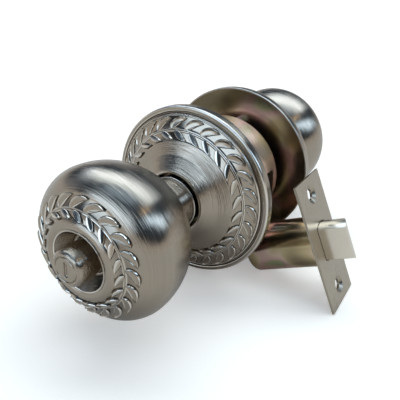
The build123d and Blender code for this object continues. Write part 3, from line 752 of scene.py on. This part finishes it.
def rose_profile():
    """Closed outline of the rose's sheet as radius, height and rounding."""
    outer = [
        (37.5, 0.0, 0.2), (37.5, 4.0, 1.0), (35.6, 4.15, 0.5), (35.2, 3.45, 0.3), (34.75, 3.45, 0.25),
        (34.45, 4.75, 0.35), (33.9, 5.0, 0.3), (33.7, band_height(33.7) - 0.12, 0.3),
        (29.4, band_height(29.4) - 0.12, 0.5), (28.95, band_height(28.95) + 0.22, 0.3),
        (rose_stem, band_height(rose_stem) + 0.10, 0.3), (28.25, band_height(28.25) + 0.22, 0.3),
        (27.8, band_height(27.8) - 0.12, 0.5), (24.9, band_height(24.9) - 0.10, 0.4),
        (24.5, 9.15, 0.3), (19.3, 11.2, 0.35), (13.75, 15.05, 0.35), (13.0, 15.25, 0.4), (12.3, 14.9, 0.4),
    ]
    inner = [
        (12.3, 12.2, 0.2), (13.1, 12.2, 0.2), (13.2, 14.1, 0.3), (19.0, 10.2, 0.5), (24.4, 8.1, 0.5),
        (34.2, 3.6, 0.5), (36.7, 2.5, 0.5), (36.7, 0.0, 0.2),
    ]
    return softened([(r, door_face + h, e) for r, h, e in outer + inner], 6)


rose_line, rose_relief = rose_profile()
for name, side, node in (("front_rose", -1, "inside_rose"), ("rear_rose", 1, "outside_rose")):
    dish = turned_part(rose_line, rose_relief, turn_steps, side, *rose_pressed)
    foot = door_face + band_height(rose_stem) - 0.1
    leaves = wreath_parts(rose_pairs, rose_stem, foot, rose_slope, rose_outer_leaf, rose_inner_leaf, side)
    make_piece(name, [dish, *leaves], steel, "lock_case", [node])

# %% [markdown]
# ## The knobs
# A knob is a hollow ball whose front is drawn flatter: a shoulder arc runs from the widest circle
# into a shallow cone, the cone carries the wreath, and a rolled lip leads into the recess. A
# sphere could be pressed flatter in Blender, but the leaves need a true cone to lie on, so the
# outline is put together from arcs and that cone.

# %% Knobs
ball = 29.0
shoulder = 11.3
nose_angle = math.radians(27.0)
nose_radius = ball - shoulder + shoulder * math.sin(nose_angle)
nose_level = shoulder * math.cos(nose_angle)
knob_wall = 1.3
knob_mouth = 11.65
knob_stem = 18.2
knob_pressed = (15.3, 22.7)
knob_pairs = 20
knob_outer_leaf = {"length": 8.2, "width": 3.2, "lift": 1.2, "end_angle": 6, "hump": 0.0}
knob_inner_leaf = {"length": 5.4, "width": 2.2, "lift": 1.2, "end_angle": 8, "hump": 0.7}
front_centre, rear_centre = 73.0, 66.0
neck_radius, neck_gap = 10.9, 0.05


def nose_height(radius):
    """Height of the knob's wreath cone over the ball's centre."""
    return nose_level - (radius - nose_radius) * math.tan(nose_angle)


def arc(centre, radius, start, end, steps):
    """Points of a circle arc as radius and height, between two angles counted from the widest circle."""
    angle = np.radians(np.linspace(start, end, steps))
    return np.stack([centre + radius * np.cos(angle), radius * np.sin(angle)], axis=-1)


def knob_profile():
    """Closed outline of the knob's shell: ball, shoulder, cone with its stem, lip, then the inner wall."""
    foot = math.degrees(math.acos((neck_radius + neck_gap) / ball))
    back = arc(0.0, ball, -foot, 0.0, 44)[:-1]
    front = arc(ball - shoulder, shoulder, 0.0, 90 - math.degrees(nose_angle), 18)
    cone = [(knob_stem + 4.4, -0.05), (knob_stem + 0.75, -0.08), (knob_stem + 0.35, 0.2), (knob_stem, 0.08),
            (knob_stem - 0.35, 0.2), (knob_stem - 0.75, -0.08), (15.35, -0.1)]
    cone = np.array([(radius, nose_height(radius) + rise) for radius, rise in cone])
    k = np.linspace(0, 1, 14)[:, None]
    lip_start, lip_top, lip_end = np.array([(15.1, 14.1), (13.4, 15.57), (knob_mouth, 14.55)])
    lip = (1 - k) ** 2 * lip_start + 2 * k * (1 - k) * lip_top + k**2 * lip_end
    inner_front = arc(ball - shoulder, shoulder - knob_wall, 90 - math.degrees(nose_angle), 0.0, 10)
    inner_foot = math.degrees(math.acos((neck_radius + neck_gap) / (ball - knob_wall)))
    inner_back = arc(0.0, ball - knob_wall, 0.0, -inner_foot, 24)[1:]
    inner_lip = np.array([(knob_mouth, 14.0), (11.8, nose_height(11.8) - 2.2)])
    line = np.concatenate([back, front, cone, lip, inner_lip, inner_front, inner_back])
    relief = np.zeros(len(line))
    stem_at = len(back) + len(front)
    # Painted shade in the dips beside and between the stem's two ridges, and a painted highlight on the
    # ridges.
    relief[stem_at + 1 : stem_at + 6] = (-0.5, 0.7, -0.6, 0.7, -0.5)
    return line, relief


knob_line, knob_relief = knob_profile()
for name, side, centre, node, body in (
    ("front_knob", -1, front_centre, "inside_knob", "inside_knob_set"),
    ("rear_knob", 1, rear_centre, "outside_knob", "outside_knob_set"),
):
    line = knob_line + np.array((0.0, centre))
    shell = turned_part(line, knob_relief, turn_steps, side, *knob_pressed)
    foot = centre + nose_height(knob_stem) - 0.08
    slope = math.tan(nose_angle)
    leaves = wreath_parts(knob_pairs, knob_stem, foot, slope, knob_outer_leaf, knob_inner_leaf, side)
    make_piece(name, [shell, *leaves], steel, body, [node], edge_angle)

# %% [markdown]
# ## Neck, recess and button
# The neck has a fine bead at its foot, where it enters the rose. The recess narrows as it goes
# down, and the button stands in it with a bevelled edge, a ring and a short slot for a fingernail.
# Neck and recess are turned as the roses are. The slot isn't round: a boolean could cut it, but
# would leave a hard edge, so the points of the button's face sink by a formula instead.

# %% Necks
small_turn_steps = 192
collar_top = door_face + 15.2
neck_foot, neck_bore, spindle_hole, end_wall = 30.2, 10.15, 7.45, 1.5
neck_under, bead_radius = neck_radius - 0.05, neck_radius + 0.38
for name, side, centre, node, body in (
    ("front_neck", -1, front_centre, "inside_knob_neck", "inside_knob_set"),
    ("rear_neck", 1, rear_centre, "outside_knob_neck", "outside_knob_set"),
):
    end = centre - math.sqrt(ball**2 - neck_radius**2) + 3.0
    bead = collar_top - 0.1
    corners = [
        (neck_under, neck_foot, 0.1), (neck_under, bead, 0.1), (bead_radius, bead, 0.3),
        (bead_radius, bead + 0.8, 0.35), (neck_under, bead + 0.9, 0.1), (neck_radius, end, 0.1),
        (spindle_hole, end, 0.1), (spindle_hole, end - end_wall, 0.1),
        (neck_bore, end - end_wall, 0.1), (neck_bore, neck_foot, 0.1),
    ]
    line, relief = softened(corners)
    neck = turned_part(line, relief, small_turn_steps, side)
    make_piece(name, [neck], steel, body, [node], edge_angle)

# %% Recess
recess_mouth = 87.678
recess = [
    # The cone you look into, its floor and the edge round the button.
    (11.0, 0.0, 0.3), (7.8, -6.0, 0.3), (7.0, -6.0, 0.2), (7.0, -7.0, 0.2),
    # The inside of the guide tube and the hole in its end.
    (8.2, -7.0, 0.1), (8.2, -26.0, 0.1), (3.6, -26.0, 0.1),
    # Back along the outside to the mouth.
    (3.6, -27.0, 0.1), (9.2, -27.0, 0.1), (9.2, -7.0, 0.1), (11.6, -1.0, 0.1), (11.6, 0.0, 0.1),
]
line, relief = softened([(radius, recess_mouth + depth, rounding) for radius, depth, rounding in recess])
cup = turned_part(line, relief, small_turn_steps, -1)
make_piece("front_recess", [cup], steel, "inside_knob_set", ["inside_knob_cup"], edge_angle)

# %% Button
button_rings, button_steps = 54, 224
centre_radius = 0.06
face_radius, face_level = 5.3, 92.88
groove_radius, groove_half, groove_depth = 4.55, 0.22, 0.38
slot_reach, slot_half, slot_edge, slot_depth = 2.1, 0.72, 0.07, 0.75
crown_radius, crown_rise = 5.4, 0.07


def button_points(rings, segments):
    """Rings from the foot up the side, over the bevel and in to the centre. The face sinks in a ring
    groove and in a slot, whose depth follows the distance from a short line along Z."""
    foot = [(centre_radius, 77.27), (6.3, 77.27), (6.5, 77.5), (6.5, 84.0)]
    bevel = [(6.5, 91.7), (6.44, 91.95), (6.3, 92.2), (5.85, 92.62), (5.65, 92.78), (5.45, 92.86)]
    face = np.stack([np.linspace(face_radius, centre_radius, rings), np.full(rings, face_level)], axis=-1)
    points = turned_points(np.concatenate([foot, bevel, face]), segments, -1)
    radius = np.hypot(points[..., 0], points[..., 2])
    groove = groove_depth * np.exp(-((radius - groove_radius) / groove_half) ** 2)
    span = np.clip(points[..., 2], -slot_reach, slot_reach)
    slot = np.hypot(points[..., 0], points[..., 2] - span)
    sink = slot_depth / (1 + np.exp((slot - slot_half) / slot_edge))
    crown = crown_rise * (1 - np.clip(radius / crown_radius, 0, 1) ** 2)
    points[..., 1] += np.where(radius < crown_radius + 0.1, np.maximum(groove, sink) - crown, 0.0)
    return points


cap = button_points(button_rings, button_steps)
cap_faces = grid_faces(button_steps, cap.shape[1], True, False)
make_piece("push_button", [(cap, cap_faces, 0.0, 0.0)], steel, "button_set", ["lock_button"],
           edge_angle)

# %% [markdown]
# ## Springs
# Each spring is a round wire on a helix. The share of its length that its joint's travel would leave,
# the length less the travel, over the length, is worked out but not used, so the spring keeps its length.
# A curve with a bevel could make the wire, but it would have to be made a mesh first, and the arrays give
# one at once.

# %% Springs
spring_turn_steps = 24
wire_sides = 10
wire_radius = 0.35
wire_angle = 60.0
latch_travel, button_travel, retractor_travel = 12.0, 5.0, 10.48


def spring_part(start, axis, length, radius, turns):
    """Closed wire: its middle turns evenly at one radius while it climbs from the start along the axis."""
    side = np.cross(axis, (0.0, 0.6, 0.8))
    side = side / np.linalg.norm(side)
    other = np.cross(axis, side)
    share = np.pad(np.linspace(0, 1, turns * spring_turn_steps + 1), 1, mode="edge")
    thick = np.full(len(share), wire_radius)
    thick[[0, -1]] = 0.0
    angle, around = share * turns * 2 * np.pi, np.arange(wire_sides) * 2 * np.pi / wire_sides
    reach = radius + thick[:, None] * np.cos(around)
    climb = wire_radius + (length - 2 * wire_radius) * share[:, None] + thick[:, None] * np.sin(around)
    across, along_other = reach * np.cos(angle)[:, None], reach * np.sin(angle)[:, None]
    points = start + across[..., None] * side + along_other[..., None] * other + climb[..., None] * axis
    return points, grid_faces(len(share), wire_sides, False, True), 0.0, 0.0


def squashed_spring(name, springs, body, travel):
    """Piece made of springs alike, each given as fixed end, axis, length, radius and turns."""
    parts = [spring_part(np.array(start), np.array(axis), *rest) for start, axis, *rest in springs]
    piece = make_piece("visible_" + name, parts, spring_wire, body, [name], wire_angle)
    start, axis, length = springs[0][:3]
    tuple(value * mm for value in start)
    1 - travel / length
    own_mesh(piece)


# %% The three springs
latch_axis = np.array((0.876587, 0.0, 0.481244))
plate_middle = np.array((56.8, 0.0, -11.970))
spring_behind_plate = 31.95
latch_end = tuple(plate_middle - spring_behind_plate * latch_axis)
latch_spring = [(latch_end, tuple(latch_axis), 20.4, 4.4, 7)]
squashed_spring("latch_spring", latch_spring, "lock_case", latch_travel)

button_spring = [((0.0, -61.73, 0.0), (0.0, -1.0, 0.0), 12.7, 6.6, 5)]
squashed_spring("button_spring", button_spring, "inside_knob_set", button_travel)

far_x, near_x = (corner[0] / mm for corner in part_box("retractor_springs"))
pair = [((far_x, 0.0, z), (1.0, 0.0, 0.0), near_x - far_x, 2.2, 6) for z in (6.0, -6.0)]
squashed_spring("retractor_springs", pair, "lock_case", retractor_travel)
